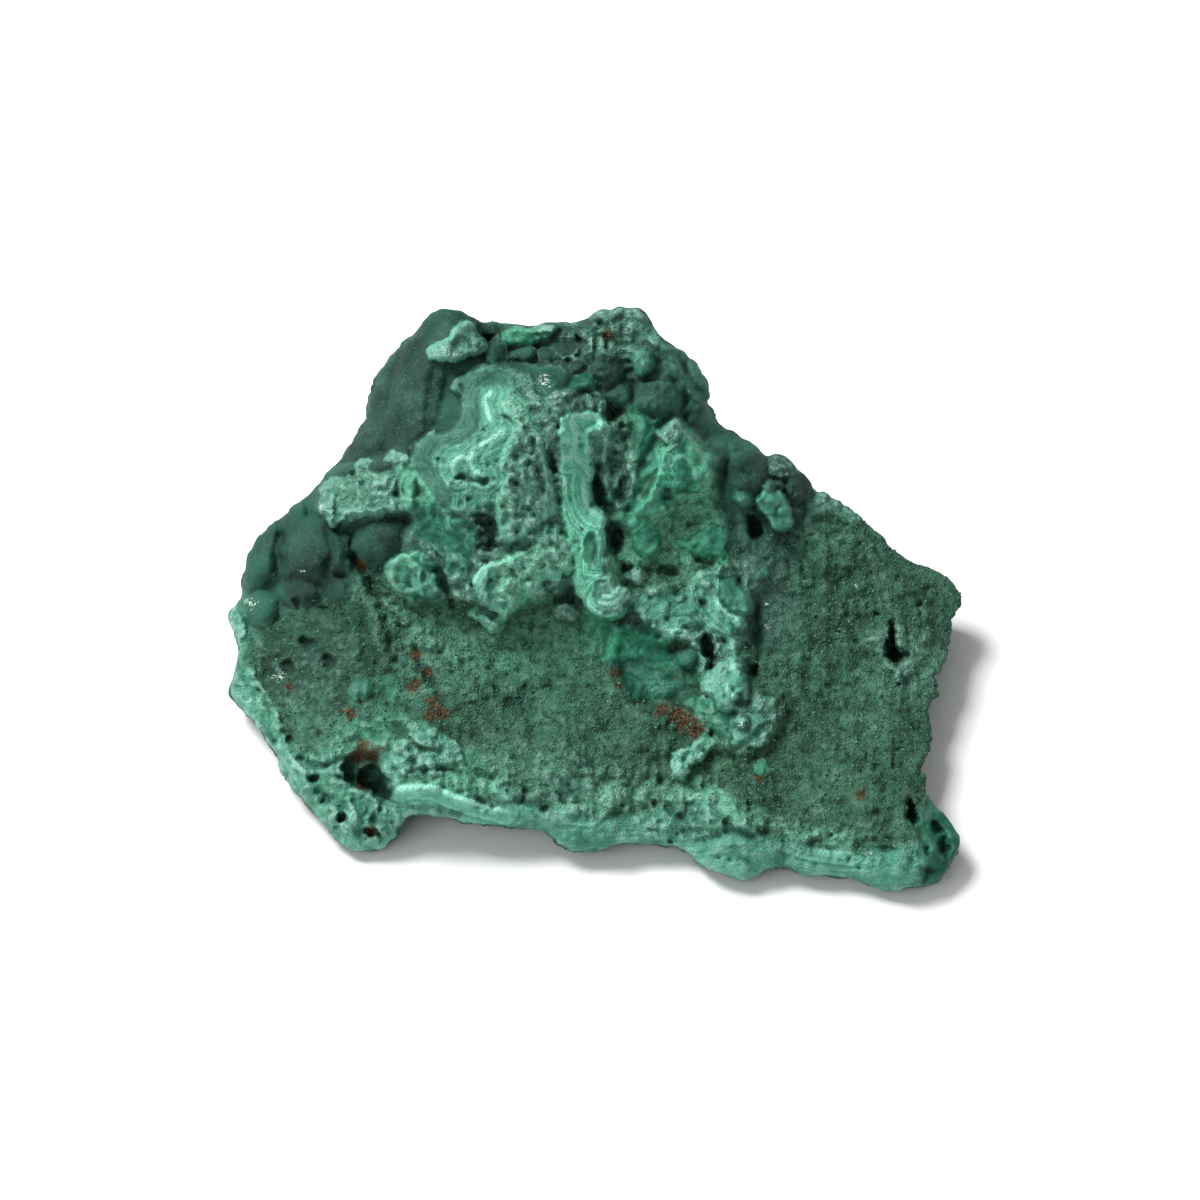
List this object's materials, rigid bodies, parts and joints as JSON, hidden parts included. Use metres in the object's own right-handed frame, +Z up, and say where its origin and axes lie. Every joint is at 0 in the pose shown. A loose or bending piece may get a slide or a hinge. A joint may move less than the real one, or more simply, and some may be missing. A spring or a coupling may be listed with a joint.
{
  "type": "malachite mineral specimen",
  "caption": "Broken stone with a sloping earthy slab and a mound of botryoidal, banded green malachite, for display lying on its flat underside.",
  "frame": {"origin": "on the table under the middle of the stone", "axes": "+X to the right of the picture along the stone's length, +Y away from the viewer, +Z up from the table"},
  "size_m": [0.1433, 0.1056, 0.0678],
  "materials": {
    "malachite": "earthy to velvety, with broken banded faces in pale green"
  },
  "bodies": {
    "root": {"malachite": "malachite"}
  },
  "joints": []
}
